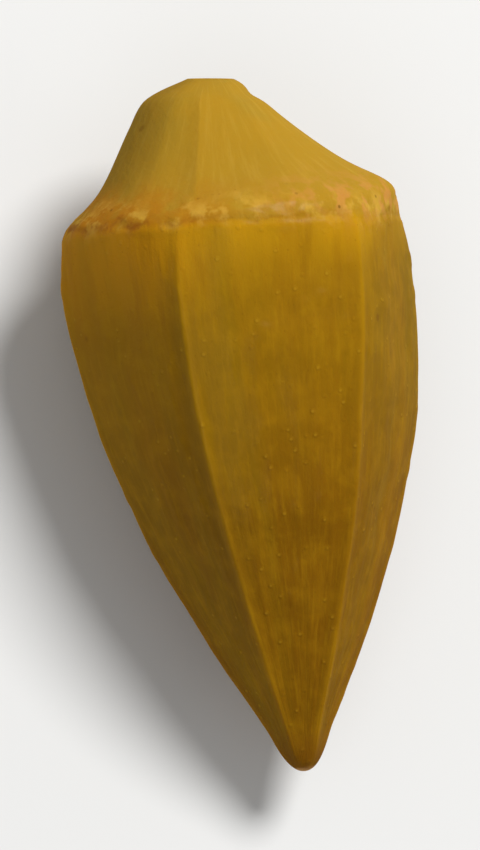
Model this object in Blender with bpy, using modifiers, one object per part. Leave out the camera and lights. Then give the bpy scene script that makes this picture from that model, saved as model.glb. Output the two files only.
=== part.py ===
"""A small pickled okra pod, its stem cap pared to a cone, lying on its side.

Metres, +Z up. The cut stem end points to -X and the beak to +X. The pod rests on the face that
its own weight has pressed flat, with the origin on the surface below the middle of its box.
"""

import math

import bmesh
import bpy
from mathutils import Matrix, Vector

MM = 0.001

# Stations are distances from the cut stem end. Radii are taken on the ridges.
POD_LENGTH = 28.6 * MM
STEM_RADIUS = 1.8 * MM
CAP_LENGTH = 5.5 * MM
CAP_EDGE_RADIUS = 7.4 * MM
BELLY_STATION = 8.2 * MM
BELLY_RADIUS = 7.4 * MM
SHOULDER_FALL = 0.45 * MM
BEAK_LENGTH = 1.4 * MM
BEAK_RADIUS = 0.9 * MM

# The cap rounds over into the shoulder. A larger power makes a crisper edge.
SHOULDER_POWER = 22

# The taper falls away from the belly by this power of the way to the tip.
TAPER_POWER = 1.84

# The cap widens evenly, but for this share of its widening, which comes close to its edge.
CAP_FLARE = 0.24
CAP_FLARE_POWER = 6

# The knife has left the cap full on one side and hollow on the other, most of all at one station,
# with a soft flat for each stroke. The stem end is cut a little aslant and rounded, and its pith
# has sunk.
CAP_FULLNESS = 0.66 * MM
FULLEST_STATION = 0.85 * MM
FULL_SIDE_END = 5.0 * MM
PARING_STROKES = 9
PARING_DEPTH = 0.03
PARING_TURN = 0.4
CUT_SLOPE = 0.14
CUT_REACH = 1.5 * MM
STEM_ROUND = 0.85 * MM
STEM_ROUND_REACH = 1.3 * MM
STEM_FACE_RADIUS = STEM_RADIUS - STEM_ROUND
STEM_DISH = 0.15 * MM

# A shallow groove runs round the pod where the calyx grew, askew.
SCAR_STATION = 5.95 * MM
SCAR_WIDTH = 0.3 * MM
SCAR_DEPTH = 0.1 * MM
SCAR_SKEW = 0.55 * MM
SKEW_FADE = 7.0 * MM

# Six ridges, each with a fine keel, and between them broad faces that lie lower by this share
# of the radius. Directions are degrees round the pod, and the lighter side faces 0.
RIDGES = 6
FIRST_RIDGE_DEG = -19.5
FACE_DROP = 0.095
FACE_FLATNESS = 1.7
RIDGE_START = 4.2 * MM
RIDGE_FULL = 8.6 * MM
KEEL_HEIGHT = 0.1 * MM
KEEL_WIDTH = 0.35 * MM
KEEL_FADE_RADIUS = 1.6 * MM
RIDGE_WANDER_DEG = 2.0
RIDGE_WANDER_TURN = -5.0
TWIST_DEG = -12.0
UNEVEN_ROUND = 0.012
UNEVEN_TURN = 1.1

# The pod leans a little to one side, most of all down its tail.
BOW = 0.12 * MM
BOW_DEG = 85.0

# The direction that faces up as it lies, how far the beak end dips, and how far the underside
# is pressed in.
TOP_DEG = 14.0
DIP_DEG = 9.8
PRESSED = 0.25 * MM

# Sides round the pod and rings along it. The sides crowd towards the ridges by this share.
SIDES_PER_FACE = 10
SIDES = RIDGES * SIDES_PER_FACE
SIDE_CROWDING = 0.5
STEM_RINGS = 3
CAP_RINGS = 12
SCAR_RINGS = 8
SCAR_REACH = 0.75 * MM
BODY_RINGS = 26
BEAK_RINGS = 7

SHARP_EDGE_DEG = 35.0
POD_COLOUR = (0.42, 0.27, 0.035, 1.0)
POD_ROUGHNESS = 0.45


def clear_scene():
    for obj in list(bpy.data.objects):
        bpy.data.objects.remove(obj)


def eased(value, low, high):
    """0 below low, 1 above high, and a smooth rise between them."""
    share = min(1.0, max(0.0, (value - low) / (high - low)))
    return share * share * (3 - 2 * share)


def bell(distance, width):
    return math.exp(-((distance / width) ** 2))


def cap_radius(station):
    """The cone that the knife left, rounded at its stem end and carried on past its edge."""
    share = station / CAP_LENGTH
    widening = (1 - CAP_FLARE) * share + CAP_FLARE * share**CAP_FLARE_POWER
    radius = STEM_RADIUS + (CAP_EDGE_RADIUS - STEM_RADIUS) * widening
    rounding = 1 - min(1.0, station / STEM_ROUND_REACH)
    return radius - STEM_ROUND * rounding * rounding


def shoulder_radius(station):
    share = (BELLY_STATION - station) / (BELLY_STATION - CAP_LENGTH)
    return BELLY_RADIUS - SHOULDER_FALL * share * share


def taper_radius(station):
    share = (station - BELLY_STATION) / (POD_LENGTH - BELLY_STATION)
    body = BELLY_RADIUS * max(0.0, 1 - share**TAPER_POWER)
    end = max(0.0, station - (POD_LENGTH - BEAK_LENGTH)) / BEAK_LENGTH
    beak = BEAK_RADIUS * math.sqrt(max(0.0, 1 - end * end))
    return (body**3 + beak**3) ** (1 / 3)


def outline_radius(station):
    """Radius on the ridges at this distance from the cut stem end."""
    if station < BELLY_STATION:
        body = shoulder_radius(station)
    else:
        body = taper_radius(station)
    ratio = body / cap_radius(station)
    return body / (1 + ratio**SHOULDER_POWER) ** (1 / SHOULDER_POWER)


def scarred_radius(station):
    return outline_radius(station) - SCAR_DEPTH * bell(station - SCAR_STATION, SCAR_WIDTH)


def face_shape(angle):
    """0 on a ridge and 1 midway between two."""
    share = (angle * RIDGES / math.tau) % 1.0
    return 1 - abs(2 * share - 1) ** FACE_FLATNESS


def ridge_distance(angle, radius):
    """Way round the skin from the nearest ridge."""
    share = (angle * RIDGES / math.tau + 0.5) % 1.0 - 0.5
    return share * math.tau / RIDGES * radius


def pared_radius(station, direction, radius):
    """The cap's radius with its full side, its hollow side and the flats that the knife left."""
    fullness = eased(station, 0.0, FULLEST_STATION)
    fullness *= 1 - eased(station, FULLEST_STATION, FULL_SIDE_END)
    stroke = abs(math.sin(PARING_STROKES / 2 * direction + PARING_TURN))
    fading = eased(station, 0.0, STEM_ROUND_REACH)
    fading *= 1 - eased(station, 0.75 * CAP_LENGTH, CAP_LENGTH)
    flat = PARING_DEPTH * stroke * fading
    return radius * (1 - flat) - CAP_FULLNESS * fullness * math.sin(direction)


def ridged_radius(station, angle, radius):
    """The radius with its ridges and the faces between them."""
    ridged = eased(station, RIDGE_START, RIDGE_FULL)
    ridged *= 1 - eased(station, POD_LENGTH - BEAK_LENGTH, POD_LENGTH)
    drop = FACE_DROP * ridged * face_shape(angle)
    slim = min(1.0, radius / KEEL_FADE_RADIUS)
    keel = KEEL_HEIGHT * slim * ridged * bell(ridge_distance(angle, radius), KEEL_WIDTH)
    uneven = UNEVEN_ROUND * math.sin(2 * angle + UNEVEN_TURN) * eased(station, 0.0, CAP_LENGTH)
    return radius * (1 - drop + uneven) + keel


def skewed_station(station, direction):
    """Where a turned ring lies once the scar and the rings near it are set askew."""
    fading = 1 - eased(station, SCAR_STATION, SCAR_STATION + SKEW_FADE)
    return station + SCAR_SKEW * math.sin(direction) * eased(station, 0.0, CAP_LENGTH) * fading


def cut_fall(station, sideways):
    """How far the slanting cut lowers the skin near the stem end on one side of the pod."""
    return CUT_SLOPE * sideways * (1 - eased(station, 0.0, CUT_REACH))


def stem_dish(turned_station, turned_radius):
    """How far the pith has sunk. Only the cut face, at station 0, has any."""
    if turned_station > 0.0:
        return 0.0
    return STEM_DISH * (1 - (turned_radius / STEM_FACE_RADIUS) ** 2)


def skin_point(turned_station, turned_angle, turned_radius):
    """A point of the skin in the pod's own frame, with its axis along Z and the stem end up."""
    share = turned_station / POD_LENGTH
    angle = turned_angle - SIDE_CROWDING / RIDGES * math.sin(RIDGES * turned_angle)
    wander = RIDGE_WANDER_DEG * math.sin(angle + RIDGE_WANDER_TURN * share)
    direction = angle + math.radians(FIRST_RIDGE_DEG + wander + TWIST_DEG * (share - 0.5))
    station = skewed_station(turned_station, direction)
    radius = turned_radius + outline_radius(station) - outline_radius(turned_station)
    radius = ridged_radius(station, angle, radius)
    radius = pared_radius(station, direction, radius)
    forward = radius * math.cos(direction)
    sideways = radius * math.sin(direction)
    lean = BOW * math.sin(math.pi * share * share) ** 2
    fall = cut_fall(station, sideways) + stem_dish(turned_station, turned_radius)
    return Vector((
        forward + lean * math.cos(math.radians(BOW_DEG)),
        sideways + lean * math.sin(math.radians(BOW_DEG)),
        -station - fall,
    ))


def spaced(low, high, count):
    """count stations that go from just past low up to high."""
    return [low + (high - low) * (i + 1) / count for i in range(count)]


def outline():
    """(station, radius) down the pod's side, from the middle of the stem end to the tip."""
    points = [(0.0, STEM_FACE_RADIUS * i / STEM_RINGS) for i in range(STEM_RINGS)]
    stations = [0.0]
    stations += spaced(0.0, SCAR_STATION - SCAR_REACH, CAP_RINGS)
    stations += spaced(SCAR_STATION - SCAR_REACH, SCAR_STATION + SCAR_REACH, SCAR_RINGS)
    stations += spaced(SCAR_STATION + SCAR_REACH, POD_LENGTH - BEAK_LENGTH, BODY_RINGS)
    for i in range(1, BEAK_RINGS):
        stations.append(POD_LENGTH - BEAK_LENGTH * (1 - math.sin(math.pi / 2 * i / BEAK_RINGS)))
    points += [(s, scarred_radius(s)) for s in stations]
    return points + [(POD_LENGTH, 0.0)]


def turned_mesh(points):
    """The outline turned once round the pod's axis."""
    mesh = bpy.data.meshes.new("pod_outline")
    edges = [(i, i + 1) for i in range(len(points) - 1)]
    mesh.from_pydata([(radius, 0, -station) for station, radius in points], edges, [])
    profile = bpy.data.objects.new("pod_outline", mesh)
    bpy.context.scene.collection.objects.link(profile)
    screw = profile.modifiers.new("turn", "SCREW")
    screw.steps = screw.render_steps = SIDES
    screw.use_merge_vertices = True
    screw.merge_threshold = 0.001 * MM
    graph = bpy.context.evaluated_depsgraph_get()
    turned = bpy.data.meshes.new_from_object(profile.evaluated_get(graph))
    bpy.data.objects.remove(profile)
    bpy.data.meshes.remove(mesh)
    return turned


def raise_skin(mesh):
    """Moves the turned surface out and in to the ridges, faces and knife strokes."""
    for vertex in mesh.vertices:
        x, y, z = vertex.co
        vertex.co = skin_point(-z, math.atan2(y, x), math.hypot(x, y))


def lay_down(mesh):
    """Turns the pod on to its side and centres it, with its lowest point just below Z = 0."""
    turn = Matrix.Rotation(math.radians(DIP_DEG - 90), 4, "Y")
    turn @= Matrix.Rotation(math.radians(-TOP_DEG), 4, "Z")
    mesh.transform(turn)
    corners = [vertex.co for vertex in mesh.vertices]
    low = Vector(min(c[axis] for c in corners) for axis in range(3))
    high = Vector(max(c[axis] for c in corners) for axis in range(3))
    middle = (low + high) / 2
    mesh.transform(Matrix.Translation((-middle.x, -middle.y, -low.z - PRESSED)))


def press_underside(mesh):
    """Flattens what would lie below the surface, and joins it into one flat face."""
    pressed = bmesh.new()
    pressed.from_mesh(mesh)
    for vertex in pressed.verts:
        vertex.co.z = max(0.0, vertex.co.z)
    flat = [face for face in pressed.faces if max(v.co.z for v in face.verts) == 0.0]
    bmesh.ops.dissolve_faces(pressed, faces=flat)
    pressed.to_mesh(mesh)
    pressed.free()


def okra_skin():
    material = bpy.data.materials.new("okra_skin")
    material.use_nodes = True
    shader = material.node_tree.nodes["Principled BSDF"]
    shader.inputs["Base Color"].default_value = POD_COLOUR
    shader.inputs["Roughness"].default_value = POD_ROUGHNESS
    shader.inputs["Metallic"].default_value = 0.0
    return material


def make_pod():
    mesh = turned_mesh(outline())
    raise_skin(mesh)
    lay_down(mesh)
    press_underside(mesh)
    mesh.name = "okra_pod"
    mesh.materials.append(okra_skin())
    mesh.shade_smooth()
    mesh.set_sharp_from_angle(angle=math.radians(SHARP_EDGE_DEG))
    pod = bpy.data.objects.new("okra_pod", mesh)
    collection = bpy.data.collections.new("okra_pod")
    bpy.context.scene.collection.children.link(collection)
    collection.objects.link(pod)


def main():
    clear_scene()
    make_pod()


main()
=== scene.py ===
"""A small pickled okra pod, its stem cap pared to a cone, lying on a pale surface.

The pod is worked out in its own frame, in millimetres: its axis is Z, the cut stem end is up and
the beak down. A station is a distance from the cut stem end, and a direction is an angle round
the pod. It is then laid on its side, in metres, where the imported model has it.
"""

import math

import bpy
from mathutils import Matrix, Vector


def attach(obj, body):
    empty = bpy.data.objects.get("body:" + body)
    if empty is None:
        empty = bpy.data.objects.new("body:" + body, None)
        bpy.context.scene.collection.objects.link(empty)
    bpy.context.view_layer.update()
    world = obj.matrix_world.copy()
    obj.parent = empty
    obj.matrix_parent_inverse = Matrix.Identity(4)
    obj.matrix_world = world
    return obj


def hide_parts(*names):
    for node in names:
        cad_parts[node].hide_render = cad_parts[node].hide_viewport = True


MM = 0.001
DEGREE = math.radians(1)

# The pod's sizes, the same as in the solid model, in millimetres, degrees and shares.
POD = {
    "Length": 28.6,
    "Stem radius": 1.8,
    "Cut slope": 0.14,
    "Cut reach": 1.5,
    "Stem round": 0.85,
    "Stem round reach": 1.3,
    "Stem dish": 0.15,
    "Cap length": 5.5,
    "Cap edge radius": 7.4,
    "Cap flare": 0.24,
    "Cap flare power": 6.0,
    "Cap fullness": 0.66,
    "Fullest station": 0.85,
    "Full side end": 5.0,
    "Paring strokes": 9.0,
    "Paring depth": 0.03,
    "Paring turn": 0.4,
    "Belly station": 8.2,
    "Belly radius": 7.4,
    "Shoulder fall": 0.45,
    "Shoulder power": 22.0,
    "Taper power": 1.84,
    "Beak length": 1.4,
    "Beak radius": 0.9,
    "Scar station": 5.95,
    "Scar skew": 0.55,
    "Skew fade": 7.0,
    "First ridge": -19.5,
    "Face drop": 0.095,
    "Face flatness": 1.7,
    "Ridge start": 4.2,
    "Ridge full": 8.6,
    "Ridge wander": 2.0,
    "Ridge wander turn": -5.0,
    "Twist": -12.0,
    "Uneven round": 0.012,
    "Uneven turn": 1.1,
    "Bow": 0.12,
    "Bow direction": 85.0,
    "Top direction": 14.0,
    "Dip": 9.8,
    "Pressed": 0.25,
}

# The finer forms of the skin, which the solid model has plainer or lacks.
SKIN = {
    "Keel height": 0.08,
    "Keel width": 0.26,
    "Keel fade radius": 1.6,
    "Keel start": 8.0,
    "Keel full": 15.0,
    "Keel start share": 0.35,
    "Keel unevenness": 0.6,
    "Furrow depth": 0.012,
    "Furrow width": 0.35,
    "Furrow gap": -0.62,
    "Scar depth": 0.04,
    "Scar width": 0.18,
    "Scar wander": 0.35,
    "Scar wander reach": 3.0,
    "Lip height": 0.035,
    "Lip width": 0.2,
    "Lip below scar": 0.3,
    "Band roughness": 0.13,
    "Band width": 0.5,
    "Band above scar": 0.45,
    "Knuckle height": 0.3,
    "Knuckle width": 1.5,
    "Knuckle length": 0.75,
    "Knuckle station": 5.1,
    "Knuckle direction": 78.0,
    "Stroke unevenness": 0.6,
    "Pith depth": 0.16,
    "Pith edge": 0.5,
    "Pith floor": 0.3,
    "Seed swell": 0.05,
    "Seed spacing": 3.4,
    "Seed row shift": 0.37,
    "Seeds start": 8.0,
    "Seeds full": 11.0,
    "Seeds fade": 21.0,
    "Seeds end": 25.0,
    "Dents": 0.2,
    "Wrinkles": 0.11,
    "Wrinkle stretch": 0.22,
    "Pimples": 0.035,
    "Smooth stem": 0.6,
    "Smooth beak": 28.2,
    "Beak smoothing": 4.2,
    "Seed of chance": 7.0,
}

RIDGES = 6

# The grid that is wrapped round the pod, and how it crowds at the tip, scar and ridges.
SIDES = 286
RINGS = 342
END_RINGS = 16
TIP_CROWDING = 1.3
SCAR_CROWDING = 0.8
SCAR_CROWDED_WIDTH = 1.6
SIDE_CROWDING = 0.35
WELD = 0.0001

# Patterns are wrapped round an even girth, so that they run straight on to the beak.
GIRTH_RADIUS = 7.0
STREAK_STRETCH = 0.16
FIBRE_STRETCH = 0.25
SEED_STEP = 41.7
DOT_CORE = 0.4

# What each point of the skin keeps of its place on the unbent pod, in millimetres.
PLACE = "pod_place"
LEAST_RADIUS = 0.01

# The stations where the skin gives way to cut flesh, and how far that edge strays.
FLESH_END = 5.65
SKIN_START = 6.25
EDGE_STRAY = 0.75
BEAK_DOT_REACH = 0.24
BEAK_DOT_STRAY = 0.1

# Colours as a screen shows them, from 0 to 255.
# Partly the skin's own gold and partly painted light, lifting the shoulder below the scar.
SHOULDER_OLIVE_AND_LIGHT = (182, 134, 15)
# Partly the skin's own orange and partly painted light on the shaded left face below the scar.
SHOULDER_ORANGE_AND_LIGHT = (188, 126, 14)
BODY_OLIVE = (139, 99, 8)
# Partly the skin's own brown and partly painted shade, darkening the tail.
TAIL_BROWN_AND_SHADE = (121, 81, 6)
# Painted shade, laid where the skin turns from the camera and on the body's right side.
PAINTED_SHADE_OLIVE = (124, 91, 8)
MOSS = (126, 98, 10)
OCHRE = (146, 99, 9)
KEEL_GOLD = (166, 123, 14)
FURROW_BROWN = (112, 70, 8)
SKIN_FLECK = (182, 142, 32)
CUT_FLESH = (164, 125, 32)
CUT_FLESH_GREEN = (147, 120, 38)
CUT_FLESH_PALE = (181, 144, 52)
# Painted shade: the cut flesh darkened on the pod's left side, as if a shadow lay there.
CUT_FLESH_PAINTED_SHADE = (116, 86, 20)
SCAR_ORANGE = (168, 106, 16)
# Partly the scar's own pale tone and partly a painted highlight on the band above it.
SCAR_CREAM_AND_HIGHLIGHT = (196, 154, 58)
SCAR_PINK = (192, 128, 66)
SCAR_RUST = (134, 76, 16)
SCAR_SPECK = (98, 62, 14)
PITH_GREY = (150, 128, 70)
BUNDLE_BROWN = (128, 90, 26)
BEAK_BROWN = (112, 70, 8)
BEAK_DOT = (196, 148, 92)
BRUISE_BROWN = (104, 64, 10)

# The skin's sheen, the light that sinks into it and its fine bumps, apart from what varies.
SKIN_FINISH = {
    "Specular IOR Level": 0.0,
    "Coat Roughness": 0.24,
    "Coat IOR": 1.8,
    "Subsurface Weight": 0.25,
    "Subsurface Radius": (1.0, 0.6, 0.2),
    "Subsurface Scale": 0.8 * MM,
}
BUMP_STRENGTH = 0.6
BUMP_HEIGHT = 0.07 * MM

FLOOR_SIDE = 3.0
FLOOR_FINISH = {"Base Color": (0.7, 0.7, 0.69, 1), "Roughness": 0.9, "Specular IOR Level": 0.1}
POD_MIDDLE_HEIGHT = 0.007
ROOM_LIGHT = 0.3

# The photograph's frame, and how the pod stands in it.
FRAME_HIGH = 850
POD_LEAN_DEG = 7.8
POD_SPAN_PX = 705
LENS = 500.0
SENSOR = 36.0
CLIP_START_SHARE = 0.05
CLIP_END_SHARE = 10


class Wire:
    """One output of a node. Arithmetic on it adds Math nodes to its tree."""

    def __init__(self, tree, socket):
        self.tree = tree
        self.socket = socket

    def __add__(self, other):
        return self.tree.maths("ADD", self, other)

    def __sub__(self, other):
        return self.tree.maths("SUBTRACT", self, other)

    def __rsub__(self, other):
        return self.tree.maths("SUBTRACT", other, self)

    def __mul__(self, other):
        return self.tree.maths("MULTIPLY", self, other)

    def __truediv__(self, other):
        return self.tree.maths("DIVIDE", self, other)

    def __rtruediv__(self, other):
        return self.tree.maths("DIVIDE", other, self)

    def __pow__(self, other):
        return self.tree.maths("POWER", self, other)

    def __mod__(self, other):
        return self.tree.maths("FLOORED_MODULO", self, other)

    def __neg__(self):
        return self.tree.maths("MULTIPLY", self, -1.0)

    def __abs__(self):
        return self.tree.maths("ABSOLUTE", self)

    __radd__ = __add__
    __rmul__ = __mul__


class Tree:
    """Adds nodes to the node tree of a shape or a material."""

    def __init__(self, nodes):
        self.nodes = nodes

    def node(self, kind, settings=None, inputs=None, output=0):
        """Adds a node, makes its settings first, and returns the wire of one of its outputs."""
        made = self.nodes.nodes.new(kind)
        for name, value in (settings or {}).items():
            setattr(made, name, value)
        for key, value in (inputs or {}).items():
            self.feed(made.inputs[key], value)
        return Wire(self, made.outputs[output]) if made.outputs else made

    def feed(self, socket, value):
        if isinstance(value, Wire):
            self.nodes.links.new(value.socket, socket)
        else:
            socket.default_value = value

    def beside(self, wire, name):
        """Another output of the node that a wire comes from."""
        return Wire(self, wire.socket.node.outputs[name])

    def maths(self, operation, *values):
        return self.node("ShaderNodeMath", {"operation": operation}, dict(enumerate(values)))

    def scaled(self, vector, by):
        settings = {"operation": "SCALE"}
        return self.node("ShaderNodeVectorMath", settings, {0: vector, "Scale": by})

    def sin(self, value):
        return self.maths("SINE", value)

    def cos(self, value):
        return self.maths("COSINE", value)

    def top(self, value, other):
        return self.maths("MAXIMUM", value, other)

    def bottom(self, value, other):
        return self.maths("MINIMUM", value, other)

    def bell(self, distance, width):
        """1 at distance 0, and falls away smoothly past the width."""
        share = distance / width
        return self.maths("EXPONENT", -(share * share))

    def eased(self, value, low, high):
        """0 at low, 1 at high and a smooth rise between them. It falls where high is the lower."""
        settings = {"interpolation_type": "SMOOTHSTEP"}
        return self.node("ShaderNodeMapRange", settings, {"Value": value, 1: low, 2: high})

    def apart(self, vector):
        """A vector's three parts."""
        x = self.node("ShaderNodeSeparateXYZ", inputs={0: vector})
        return x, self.beside(x, "Y"), self.beside(x, "Z")

    def together(self, x, y, z):
        return self.node("ShaderNodeCombineXYZ", inputs={0: x, 1: y, 2: z})

    def wrapped(self, front, across, along):
        """A place on an even girth, from a direction's cosine and sine and a way along the pod."""
        return self.together(front * GIRTH_RADIUS, across * GIRTH_RADIUS, along)

    def moved(self, place, seed):
        """A place moved far along, by a number, so that patterns on it don't repeat one another."""
        far = seed * SEED_STEP
        shift = far if isinstance(far, Wire) else (far, far, far)
        return self.node("ShaderNodeVectorMath", {"operation": "ADD"}, {0: place, 1: shift})

    def noise(self, place, scale, detail=2.0, roughness=0.5, seed=0.0):
        """Even noise, mostly between 0.3 and 0.7. Each seed moves it to another place."""
        spread = {"Scale": scale, "Detail": detail, "Roughness": roughness}
        return self.node("ShaderNodeTexNoise", inputs={"Vector": self.moved(place, seed), **spread})

    def sway(self, place, scale, detail=2.0, roughness=0.5, seed=0.0):
        """Noise to both sides of 0, mostly between -0.4 and 0.4."""
        return (self.noise(place, scale, detail, roughness, seed) - 0.5) * 2

    def patches(self, place, scale, low, high, detail=3.0, roughness=0.6, seed=0.0):
        """Soft patches, 1 where the noise is above high and 0 where it is below low."""
        return self.eased(self.noise(place, scale, detail, roughness, seed), low, high)

    def dots(self, place, scale, size, share, seed=0.0):
        """Round dots, one in each cell of a loose grid, of which only this share is there."""
        inputs = {"Vector": self.moved(place, seed), "Scale": scale}
        distance = self.node("ShaderNodeTexVoronoi", inputs=inputs)
        chance = self.apart(self.beside(distance, "Color"))[0]
        there = self.maths("LESS_THAN", chance, share)
        return self.eased(distance, size, size * DOT_CORE) * there

    def mix(self, share, colour, other):
        settings = {"data_type": "RGBA", "clamp_factor": True}
        return self.node("ShaderNodeMix", settings, {0: share, 6: colour, 7: other}, 2)

    def tinted(self, colour, share, tint):
        """A colour with a share of a tint laid over it. The tint is as a screen shows it."""
        return self.mix(share, colour, screen(tint))


def screen(colour):
    """A colour as a screen shows it, made the linear one that a shader takes."""
    shares = [part / 255 for part in colour]
    linear = [p / 12.92 if p <= 0.04045 else ((p + 0.055) / 1.055) ** 2.4 for p in shares]
    return (*linear, 1.0)


def ring_places(tree, given, way):
    """The station of a ring, by its way down the grid, and how far out it is on the end face.
    Rings crowd at the scar and at the tip."""
    first = END_RINGS / RINGS
    end = tree.bottom(way / first, 1.0)
    share = tree.top(way - first, 0.0) / (1 - first)
    station = given["Length"] * (1 - tree.top(1 - share, 0.0) ** TIP_CROWDING)
    off = (station - given["Scar station"]) / SCAR_CROWDED_WIDTH
    station = station - SCAR_CROWDING * off * tree.bell(off, 1.0)
    return tree.bottom(tree.top(station, 0.0), given["Length"]), end


def outline_radius(tree, given, station):
    """The turned outline: a flared cone, rounded over into a tapering body with a blunt beak."""
    rounding = tree.top(1 - station / given["Stem round reach"], 0.0)
    share = tree.top(station / given["Cap length"], 0.0)
    flare = given["Cap flare"]
    widening = (1 - flare) * share + flare * share ** given["Cap flare power"]
    cap = given["Stem radius"] + (given["Cap edge radius"] - given["Stem radius"]) * widening
    cap = cap - given["Stem round"] * rounding * rounding
    shoulder = given["Belly station"] - given["Cap length"]
    fall = tree.top(given["Belly station"] - station, 0.0) / shoulder
    tail = given["Length"] - given["Belly station"]
    taper = tree.top(station - given["Belly station"], 0.0) / tail
    body = given["Belly radius"] * tree.top(1 - taper ** given["Taper power"], 0.0)
    end = tree.top(station - given["Length"] + given["Beak length"], 0.0) / given["Beak length"]
    beak = given["Beak radius"] * tree.top(1 - end * end, 0.0) ** 0.5
    body = (body**3 + beak**3) ** (1 / 3) - given["Shoulder fall"] * fall * fall
    power = given["Shoulder power"]
    return body / (1 + (body / cap) ** power) ** (1 / power)


def ridge_phase(angle):
    """Where an angle lies between two ridges: 0 on a ridge, and 0.5 or -0.5 midway to the next."""
    return (angle * (RIDGES / math.tau) + 0.5) % 1.0 - 0.5


def keel_relief(tree, given, station, radius, gap, raised, place):
    """The thin keel on each ridge, and the shallow furrow that runs beside it."""
    slim = tree.bottom(radius / given["Keel fade radius"], 1.0) * raised
    uneven = tree.sway(place, 0.35, seed=given["Seed of chance"] + 21.0)
    keel = given["Keel height"] * slim * (1 + given["Keel unevenness"] * uneven)
    grown = tree.eased(station, given["Keel start"], given["Keel full"])
    grown = given["Keel start share"] + (1 - given["Keel start share"]) * grown
    keel = keel * grown * tree.bell(gap, given["Keel width"])
    furrow = tree.bell(gap - given["Furrow gap"], given["Furrow width"])
    return keel - given["Furrow depth"] * slim * furrow


def seed_relief(tree, given, station, angle):
    """How the faces swell over the rows of seeds, out of step from one face to the next."""
    row = tree.maths("FLOOR", angle * (RIDGES / math.tau))
    beat = station / given["Seed spacing"] + row * given["Seed row shift"]
    seeded = tree.eased(station, given["Seeds start"], given["Seeds full"])
    seeded = seeded * tree.eased(station, given["Seeds end"], given["Seeds fade"])
    return given["Seed swell"] * tree.sin(beat * math.tau) * seeded


def ridged(tree, given, station, angle, radius, place):
    """The radius with six keeled ridges and the broad faces between them."""
    phase = ridge_phase(angle)
    raised = tree.eased(station, given["Ridge start"], given["Ridge full"])
    beak_start = given["Length"] - given["Beak length"]
    raised = raised * tree.eased(station, given["Length"], beak_start)
    face = 1 - (1 - 2 * abs(phase)) ** given["Face flatness"]
    gap = phase * (math.tau / RIDGES) * radius
    uneven_round = tree.sin(angle * 2 + given["Uneven turn"]) * given["Uneven round"]
    uneven_round = uneven_round * tree.eased(station, 0.0, given["Cap length"])
    ridges = radius * (1 - given["Face drop"] * raised * face + uneven_round)
    swell = seed_relief(tree, given, station, angle) * face * face
    return ridges + keel_relief(tree, given, station, radius, gap, raised, place) + swell


def pared(tree, given, station, direction, radius):
    """The radius with the flats that the knife left on the cap, which is full on one side, hollow
    on the other, and has a knuckle left standing on its hollow side."""
    full = tree.eased(station, 0.0, given["Fullest station"])
    full = full * tree.eased(station, given["Full side end"], given["Fullest station"])
    full = given["Cap fullness"] * tree.sin(direction) * full

    uneven = given["Stroke unevenness"]
    swing = 0.3 * tree.sin(direction * 2 + 0.8) + 0.13 * tree.sin(direction * 5 + 2.0)
    turned = given["Paring strokes"] / 2 * (direction + uneven * swing) + given["Paring turn"]
    stroke = abs(tree.sin(turned)) * (1 + uneven * tree.sin(direction * 3 + 1.0))
    reached = station + uneven * 0.7 * tree.sin(direction * 4 + 0.5)
    fading = tree.eased(reached, given["Cap length"], given["Cap length"] * 0.75)
    fading = fading * tree.eased(station, 0.0, given["Stem round reach"])

    turn_off = (direction - given["Knuckle direction"] * DEGREE + math.pi) % math.tau - math.pi
    knuckle = tree.bell(turn_off * GIRTH_RADIUS, given["Knuckle width"])
    knuckle = knuckle * tree.bell(station - given["Knuckle station"], given["Knuckle length"])
    knuckle = given["Knuckle height"] * knuckle
    return radius * (1 - given["Paring depth"] * stroke * fading) - full + knuckle


def scar_relief(tree, given, station, place):
    """The thin broken furrow where the calyx grew, its lip, and the rough band above it."""
    seed = given["Seed of chance"]
    off = station - given["Scar station"]
    broken = tree.patches(place, 0.9, 0.36, 0.6, detail=2.0, roughness=0.5, seed=seed + 3.0)
    furrow = given["Scar depth"] * broken * tree.bell(off, given["Scar width"])
    lip = tree.bell(off - given["Lip below scar"], given["Lip width"])
    lip = given["Lip height"] * (1.3 - broken) * lip
    band = tree.bell(off + given["Band above scar"], given["Band width"])
    band = given["Band roughness"] * tree.sway(place, 1.6, 3.0, 0.6, seed=seed + 8.0) * band
    return band + lip - furrow


def worn_relief(tree, given, station, angle, place):
    """Broad dents, lengthwise wrinkles and small pimples, short of the stem end and the beak."""
    seed = given["Seed of chance"]
    stretched = station * given["Wrinkle stretch"]
    along = tree.wrapped(tree.cos(angle), tree.sin(angle), stretched)
    skin = tree.eased(station, 6.0, 8.0)
    dents = given["Dents"] * tree.sway(place, 0.15, 1.0, seed=seed + 11.0)
    wrinkle = tree.sway(along, 0.75, 3.0, 0.55, seed=seed + 5.0)
    fine_wrinkle = tree.sway(along, 2.2, seed=seed + 6.0)
    wrinkles = given["Wrinkles"] * (0.8 * wrinkle + 0.3 * fine_wrinkle) * (0.35 + 0.65 * skin)
    pimples = given["Pimples"] * tree.dots(place, 0.85, 0.42, 0.5, seed=seed + 2.0) * skin
    worn = tree.eased(station, given["Smooth stem"], given["Cap length"] * 0.7)
    smooth_from = given["Smooth beak"] - given["Beak smoothing"]
    worn = worn * tree.eased(station, given["Smooth beak"], smooth_from)
    return (dents + wrinkles + pimples) * worn


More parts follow.
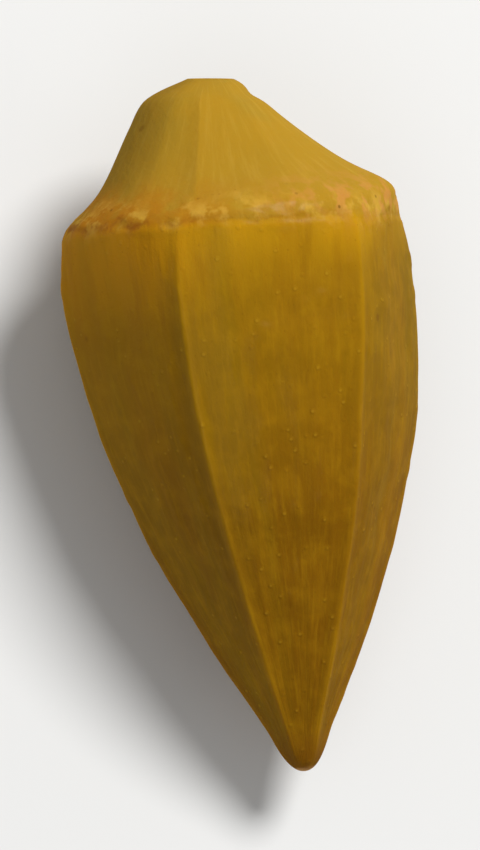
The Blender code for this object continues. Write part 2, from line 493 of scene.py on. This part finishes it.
def laid_down(tree, given, shape):
    """Turns the pod on to its side, in metres, centres it and presses its underside flat."""
    turn = tree.together(0.0, 0.0, -given["Top direction"] * DEGREE)
    shape = tree.node("GeometryNodeTransform", inputs={"Geometry": shape, "Rotation": turn})
    tip = tree.together(0.0, (given["Dip"] - 90) * DEGREE, 0.0)
    inputs = {"Geometry": shape, "Rotation": tip, "Scale": (MM, MM, MM)}
    shape = tree.node("GeometryNodeTransform", inputs=inputs)
    box = tree.node("GeometryNodeBoundBox", inputs={"Geometry": shape}, output="Min")
    low_x, low_y, low_z = tree.apart(box)
    high_x, high_y, _ = tree.apart(tree.beside(box, "Max"))
    x, y, z = tree.apart(tree.node("GeometryNodeInputPosition"))
    height = tree.top(z - low_z - given["Pressed"] * MM, 0.0)
    place = tree.together(x - (low_x + high_x) / 2, y - (low_y + high_y) / 2, height)
    return tree.node("GeometryNodeSetPosition", inputs={"Geometry": shape, "Position": place})


def empty_shape(sizes):
    """A shape tree with a named input for each size, and those inputs as wires."""
    group = bpy.data.node_groups.new("okra_pod_shape", "GeometryNodeTree")
    group.interface.new_socket("Geometry", in_out="INPUT", socket_type="NodeSocketGeometry")
    for name, value in sizes.items():
        socket = group.interface.new_socket(name, in_out="INPUT", socket_type="NodeSocketFloat")
        socket.default_value = value
    group.interface.new_socket("Geometry", in_out="OUTPUT", socket_type="NodeSocketGeometry")
    tree = Tree(group)
    entry = tree.node("NodeGroupInput")
    return tree, {name: tree.beside(entry, name) for name in sizes}


def pod_place(tree, given, ring, end, share, station, direction, radius):
    """Where a point of the skin is: bowed along the pod, on its slanting cut and in its dish."""
    lean = given["Bow"] * tree.sin(share * share * math.pi) ** 2
    bow = given["Bow direction"] * DEGREE
    pith = tree.eased(end, given["Pith edge"], given["Pith floor"])
    dish = given["Stem dish"] * (1 - end * end) + given["Pith depth"] * pith
    sideways = radius * tree.sin(direction)
    slant = given["Cut slope"] * sideways * tree.eased(station, given["Cut reach"], 0.0)
    return tree.together(
        radius * tree.cos(direction) + lean * tree.cos(bow),
        sideways + lean * tree.sin(bow),
        -(station + dish + slant),
    )


def pod_shape(sizes, material):
    """The node tree that makes the pod's skin."""
    tree, given = empty_shape(sizes)
    grid = {"Size X": 1.0, "Size Y": 1.0, "Vertices X": SIDES + 1, "Vertices Y": RINGS + 1}
    shape = tree.node("GeometryNodeMeshGrid", inputs=grid)
    x, y, _ = tree.apart(tree.node("GeometryNodeInputPosition"))
    turned = (x + 0.5) * math.tau
    ring, end = ring_places(tree, given, y + 0.5)
    angle = turned - SIDE_CROWDING / RIDGES * tree.sin(turned * RIDGES)
    share = ring / given["Length"]
    place = tree.wrapped(tree.cos(angle), tree.sin(angle), ring)
    wander = given["Ridge wander"] * tree.sin(angle + given["Ridge wander turn"] * share)
    twist = given["Twist"] * (share - 0.5)
    direction = angle + (given["First ridge"] + wander + twist) * DEGREE

    astray = given["Scar wander"] * tree.sway(place, 0.42, 3.0, 0.55, seed=given["Seed of chance"])
    astray = astray * tree.bell(ring - given["Scar station"], given["Scar wander reach"])
    skew = given["Scar skew"] * tree.sin(direction) * tree.eased(ring, 0.0, given["Cap length"])
    skew_end = given["Scar station"] + given["Skew fade"]
    station = ring + skew * tree.eased(ring, skew_end, given["Scar station"])

    radius = outline_radius(tree, given, station)
    radius = radius + scar_relief(tree, given, ring + astray, place)
    radius = ridged(tree, given, station, angle, radius, place)
    radius = pared(tree, given, station, direction, radius)
    radius = (radius + worn_relief(tree, given, station, angle, place)) * end

    position = pod_place(tree, given, ring, end, share, station, direction, radius)
    kept = tree.together(radius * tree.cos(angle), radius * tree.sin(angle), ring + astray)
    settings = {"data_type": "FLOAT_VECTOR", "domain": "POINT"}
    stored = {"Geometry": shape, "Name": PLACE, "Value": kept}
    shape = tree.node("GeometryNodeStoreNamedAttribute", settings, stored)
    shape = tree.node("GeometryNodeSetPosition", inputs={"Geometry": shape, "Position": position})
    shape = tree.node("GeometryNodeMergeByDistance", inputs={"Geometry": shape, "Distance": WELD})
    shape = tree.node("GeometryNodeFlipFaces", inputs={"Mesh": shape})
    shape = laid_down(tree, given, shape)
    shape = tree.node("GeometryNodeSetShadeSmooth", inputs={"Geometry": shape})
    shape = tree.node("GeometryNodeRealizeInstances", inputs={"Geometry": shape})
    inputs = {"Geometry": shape, "Material": material}
    shape = tree.node("GeometryNodeSetMaterial", inputs=inputs)
    tree.node("NodeGroupOutput", inputs={0: shape})
    return tree.nodes


def body_colour(tree, here, along, front, across, station, gap):
    """Olive-brown skin, mottled and faintly streaked, with a gold keel and a brown furrow. It is
    golden below the scar and browner towards the tail, partly its own tones and partly painted
    light and shade, and orange there on the pod's left, partly painted light. Painted shade
    darkens its right and the sides that turn from the camera."""
    # Golden below the scar, partly the skin's own tone and partly painted light.
    colour = tree.tinted(screen(SHOULDER_OLIVE_AND_LIGHT), tree.eased(station, 5.6, 10.0), BODY_OLIVE)
    # Partly the skin's own orange and partly painted light, lifting the left face below the scar.
    warm = tree.eased(station, 11.0, 6.5) * tree.eased(across, 0.3, -0.3)
    colour = tree.tinted(colour, warm * 0.6, SHOULDER_ORANGE_AND_LIGHT)
    # Painted shade: darker where the skin turns away from the camera, towards its edges and back.
    back = tree.eased(front, 0.65, 0.1) * (0.5 + 0.5 * tree.eased(station, 6.0, 9.0))
    colour = tree.tinted(colour, back, PAINTED_SHADE_OLIVE)
    # Painted shade: the body's right side made darker between the shoulder and the tail.
    middle = tree.eased(station, 6.5, 9.5) * tree.eased(station, 19.0, 12.0)
    colour = tree.tinted(colour, tree.eased(across, 0.0, 0.7) * middle * 0.4, PAINTED_SHADE_OLIVE)
    # Browner towards the tail, partly the skin's own tone and partly painted shade.
    colour = tree.tinted(colour, tree.eased(station, 11.0, 19.0), TAIL_BROWN_AND_SHADE)

    moss = tree.patches(along, 0.22, 0.42, 0.66, roughness=0.55, seed=4.0)
    colour = tree.tinted(colour, moss * 0.45, MOSS)
    ochre = tree.patches(along, 0.4, 0.48, 0.72, roughness=0.55, seed=1.0)
    colour = tree.tinted(colour, ochre * 0.4, OCHRE)
    cloud = tree.patches(here, 0.9, 0.4, 0.7, seed=11.0)
    colour = tree.tinted(colour, cloud * 0.22, KEEL_GOLD)
    streak = tree.patches(along, 1.6, 0.5, 0.74, detail=4.0, roughness=0.62, seed=2.0)
    colour = tree.tinted(colour, streak * 0.24, FURROW_BROWN)
    fibre = tree.patches(along, 4.2, 0.46, 0.72, seed=9.0)
    colour = tree.tinted(colour, fibre * 0.22, KEEL_GOLD)

    ridges = tree.eased(station, 6.6, 9.5)
    patchy = tree.patches(along, 0.7, 0.36, 0.66, roughness=0.5, seed=14.0)
    furrow = tree.bell(gap - SKIN["Furrow gap"], 0.4) * ridges * patchy
    colour = tree.tinted(colour, furrow * 0.15, FURROW_BROWN)
    crest = tree.bell(gap, 0.18) * ridges * (0.2 + 0.3 * patchy)
    return tree.tinted(colour, crest, KEEL_GOLD)


def flecked(tree, here, colour):
    """Skin with its small pale bumps and darker pores."""
    bump = tree.dots(here, 1.9, 0.17, 0.5, seed=3.0)
    colour = tree.tinted(colour, bump * 0.26, SKIN_FLECK)
    pore = tree.dots(here, 3.1, 0.16, 0.4, seed=5.0)
    return tree.tinted(colour, pore * 0.28, FURROW_BROWN)


def cap_colour(tree, here, front, across, station, radius):
    """Pale flesh where the knife cut, with the pith and its ring of bundles on the end face."""
    fibres = tree.wrapped(front, across, radius * FIBRE_STRETCH)
    fibre = tree.patches(fibres, 2.4, 0.46, 0.74, seed=12.0)
    green = tree.patches(here, 0.3, 0.38, 0.66, detail=2.0, roughness=0.5, seed=15.0)
    green = green * tree.eased(station, 4.5, 0.5)
    colour = tree.tinted(screen(CUT_FLESH), green * 0.7, CUT_FLESH_GREEN)
    colour = tree.tinted(colour, fibre * 0.35, CUT_FLESH_PALE)
    # Painted shade: darkens the cap's flesh towards the pod's left side.
    colour = tree.tinted(colour, tree.eased(across, -0.15, -0.7) * 0.4, CUT_FLESH_PAINTED_SHADE)
    face = tree.eased(station, 0.12, 0.0)
    bundles = tree.dots(here, 2.6, 0.36, 0.8, seed=17.0) * tree.bell(radius - 0.85, 0.22)
    colour = tree.tinted(colour, bundles * face * 0.8, BUNDLE_BROWN)
    return tree.tinted(colour, tree.eased(radius, 0.7, 0.45) * face * 0.85, PITH_GREY)


def ring_colour(tree, here, across, station, colour):
    """The band where the calyx grew: patches of orange, cream partly standing for a painted
    highlight, and pink, a broken rust line along its lower edge, and brown specks. Across goes
    from -1 on the pod's left to 1 on its right."""
    band = tree.eased(station, 3.9, 5.4) * tree.eased(station, 6.5, 5.9)
    orange = tree.patches(here, 0.55, 0.34, 0.6, seed=20.0)
    orange = orange * band * tree.eased(across, 0.9, -0.5)
    colour = tree.tinted(colour, orange * 0.85, SCAR_ORANGE)
    # Cream patches above the scar, partly its own pale tone and partly a painted highlight.
    cream = tree.patches(here, 1.1, 0.46, 0.62, seed=24.0) * tree.bell(station - 5.65, 0.5)
    colour = tree.tinted(colour, cream * 0.7, SCAR_CREAM_AND_HIGHLIGHT)
    pink = tree.patches(here, 1.3, 0.44, 0.6, detail=2.0, seed=25.0)
    pink = pink * tree.bell(station - 5.2, 0.8) * tree.eased(across, 0.3, 0.95)
    colour = tree.tinted(colour, pink * 0.6, SCAR_PINK)
    line = tree.patches(here, 0.7, 0.42, 0.58, seed=28.0) * tree.bell(station - 5.9, 0.16)
    line = line * (0.2 + 0.6 * tree.eased(across, 0.5, -0.3))
    colour = tree.tinted(colour, line, SCAR_RUST)
    speck = tree.dots(here, 1.7, 0.17, 0.4, seed=26.0) * tree.bell(station - 5.5, 0.6)
    return tree.tinted(colour, speck * 0.7, SCAR_SPECK)


def marked(tree, here, station, colour):
    """A few small bruises, and the pale dot where the flower sat, at the end of the beak."""
    bruise = tree.dots(here, 0.4, 0.09, 0.6, seed=31.0)
    colour = tree.tinted(colour, bruise * 0.45, BRUISE_BROWN)
    strayed = station + BEAK_DOT_STRAY * tree.sway(here, 2.5, seed=33.0)
    dot = tree.eased(strayed, POD["Length"] - BEAK_DOT_REACH, POD["Length"])
    return tree.tinted(colour, dot * 0.7, BEAK_DOT)


def skin_bump(tree, here, along, grain, cut):
    """Fine lengthwise ribs and bumps on the skin, the knife's chatter on the cap, and grain."""
    ribs = tree.noise(along, 3.2, 3.0, 0.6, seed=9.0) * (1 - cut)
    bumps = tree.dots(here, 1.9, 0.28, 0.5, seed=3.0) * (1 - cut)
    chatter = tree.noise(here, 1.3, 3.0, 0.6, seed=36.0) * cut
    fine_grain = tree.noise(here, 11.0, seed=35.0)
    height = 0.5 * grain + 0.8 * ribs + 0.4 * bumps + 1.4 * chatter + 0.2 * fine_grain
    inputs = {"Strength": BUMP_STRENGTH, "Distance": BUMP_HEIGHT, "Height": height}
    return tree.node("ShaderNodeBump", inputs=inputs)


def skin_material():
    """Pickled skin: olive-brown on the body, paler where the knife cut the cap, and moist."""
    material = bpy.data.materials.new("okra_skin")
    material.use_nodes = True
    shader = material.node_tree.nodes["Principled BSDF"]
    tree = Tree(material.node_tree)
    place = tree.node("ShaderNodeAttribute", {"attribute_name": PLACE}, output="Vector")
    here = tree.scaled(tree.node("ShaderNodeTexCoord", output="Object"), 1 / MM)
    x, y, station = tree.apart(place)
    radius = tree.top((x * x + y * y) ** 0.5, LEAST_RADIUS)
    front, across = x / radius, y / radius
    along = tree.wrapped(front, across, station * STREAK_STRETCH)
    gap = ridge_phase(tree.maths("ARCTAN2", y, x)) * (math.tau / RIDGES) * radius

    body = flecked(tree, here, body_colour(tree, here, along, front, across, station, gap))
    body = tree.tinted(body, tree.eased(station, 26.4, 28.2) * 0.7, BEAK_BROWN)
    cap = cap_colour(tree, here, front, across, station, radius)
    strayed = station + EDGE_STRAY * tree.sway(here, 0.9, 4.0, 0.65, seed=22.0)
    colour = tree.mix(tree.eased(strayed, FLESH_END, SKIN_START), cap, body)
    colour = ring_colour(tree, here, across, strayed, colour)
    tree.feed(shader.inputs["Base Color"], marked(tree, here, station, colour))

    cut = tree.eased(station, 6.0, 5.7)
    grain = tree.noise(here, 3.5, 3.0, 0.6, seed=6.0)
    film = tree.noise(here, 0.4, seed=27.0)
    tree.feed(shader.inputs["Roughness"], 0.35 + 0.2 * film + 0.12 * grain + 0.06 * cut)
    tree.feed(shader.inputs["Coat Weight"], 0.05 - 0.02 * cut)
    tree.feed(shader.inputs["Normal"], skin_bump(tree, here, along, grain, cut))
    for name, value in SKIN_FINISH.items():
        shader.inputs[name].default_value = value
    return material


def make_pod():
    """The pod as one plain mesh, which takes the solid pod's place."""
    sizes = {**POD, **SKIN}
    group = pod_shape(sizes, skin_material())
    pod = bpy.data.objects.new("okra_pod_skin", bpy.data.meshes.new("okra_pod_skin"))
    bpy.context.scene.collection.objects.link(pod)
    modifier = pod.modifiers.new("shape", "NODES")
    modifier.node_group = group
    for item in group.interface.items_tree:
        if item.name in sizes:
            modifier[item.identifier] = sizes[item.name]
    graph = bpy.context.evaluated_depsgraph_get()
    mesh = bpy.data.meshes.new_from_object(pod.evaluated_get(graph))
    pod.modifiers.remove(modifier)
    pod.data = mesh
    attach(pod, "root")
    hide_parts("okra_pod")
    return pod


def make_floor():
    bpy.ops.mesh.primitive_plane_add(size=FLOOR_SIDE)
    floor = bpy.context.object
    floor.name = "floor"
    material = bpy.data.materials.new("pale_paper")
    material.use_nodes = True
    shader = material.node_tree.nodes["Principled BSDF"]
    for name, value in FLOOR_FINISH.items():
        shader.inputs[name].default_value = value
    floor.data.materials.append(material)


def make_light(name, direction, distance, size, watts):
    """A round soft light that shines on the pod from this direction."""
    data = bpy.data.lights.new(name, "AREA")
    data.shape = "DISK"
    data.size = size
    data.energy = watts
    light = bpy.data.objects.new(name, data)
    light.location = Vector((0, 0, POD_MIDDLE_HEIGHT)) + direction.normalized() * distance
    light.rotation_mode = "QUATERNION"
    light.rotation_quaternion = direction.to_track_quat("Z", "Y")
    bpy.context.scene.collection.objects.link(light)


def light_the_scene():
    make_light("key", Vector((-0.42, 0.42, 1.0)), distance=0.6, size=0.24, watts=3.8)
    make_light("fill", Vector((0.6, -0.5, 1.1)), distance=0.8, size=0.6, watts=0.8)
    make_light("side", Vector((0.5, 0.9, 0.55)), distance=0.6, size=0.16, watts=0.12)
    world = bpy.data.worlds.new("studio")
    bpy.context.scene.world = world
    world.use_nodes = True
    background = world.node_tree.nodes["Background"]
    background.inputs["Color"].default_value = (1, 1, 1, 1)
    background.inputs["Strength"].default_value = ROOM_LIGHT


def place_camera(pod):
    """Looks square on at the pod's front, with its stem end up and its beak to the right."""
    lying = Matrix.Rotation((POD["Dip"] - 90) * DEGREE, 3, "Y")
    lying @= Matrix.Rotation(-POD["Top direction"] * DEGREE, 3, "Z")
    front = lying @ Vector((1, 0, 0))
    up = Matrix.Rotation(-POD_LEAN_DEG * DEGREE, 3, front) @ lying @ Vector((0, 0, 1))
    axes = (up.cross(front), up, front)
    middle = Vector()
    for axis in axes:
        reach = [vertex.co.dot(axis) for vertex in pod.data.vertices]
        middle += axis * (min(reach) + max(reach)) / 2
    span = POD["Length"] * MM / math.cos(POD_LEAN_DEG * DEGREE)
    distance = span * FRAME_HIGH / POD_SPAN_PX * LENS / SENSOR
    data = bpy.data.cameras.new("camera")
    data.lens = LENS
    data.sensor_width = SENSOR
    data.clip_start = distance * CLIP_START_SHARE
    data.clip_end = distance * CLIP_END_SHARE
    camera = bpy.data.objects.new("camera", data)
    turn = Matrix(axes).transposed().to_4x4()
    camera.matrix_world = Matrix.Translation(middle + front * distance) @ turn
    bpy.context.scene.collection.objects.link(camera)
    bpy.context.scene.camera = camera


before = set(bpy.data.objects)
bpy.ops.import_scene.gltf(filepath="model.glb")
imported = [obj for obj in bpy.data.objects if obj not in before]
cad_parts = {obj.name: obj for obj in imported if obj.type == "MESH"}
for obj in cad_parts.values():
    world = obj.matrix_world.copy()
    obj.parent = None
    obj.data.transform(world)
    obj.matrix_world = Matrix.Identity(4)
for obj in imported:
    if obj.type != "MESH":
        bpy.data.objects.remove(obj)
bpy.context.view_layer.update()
pod = make_pod()
make_floor()
light_the_scene()
place_camera(pod)
bpy.context.scene.view_settings.view_transform = "Standard"
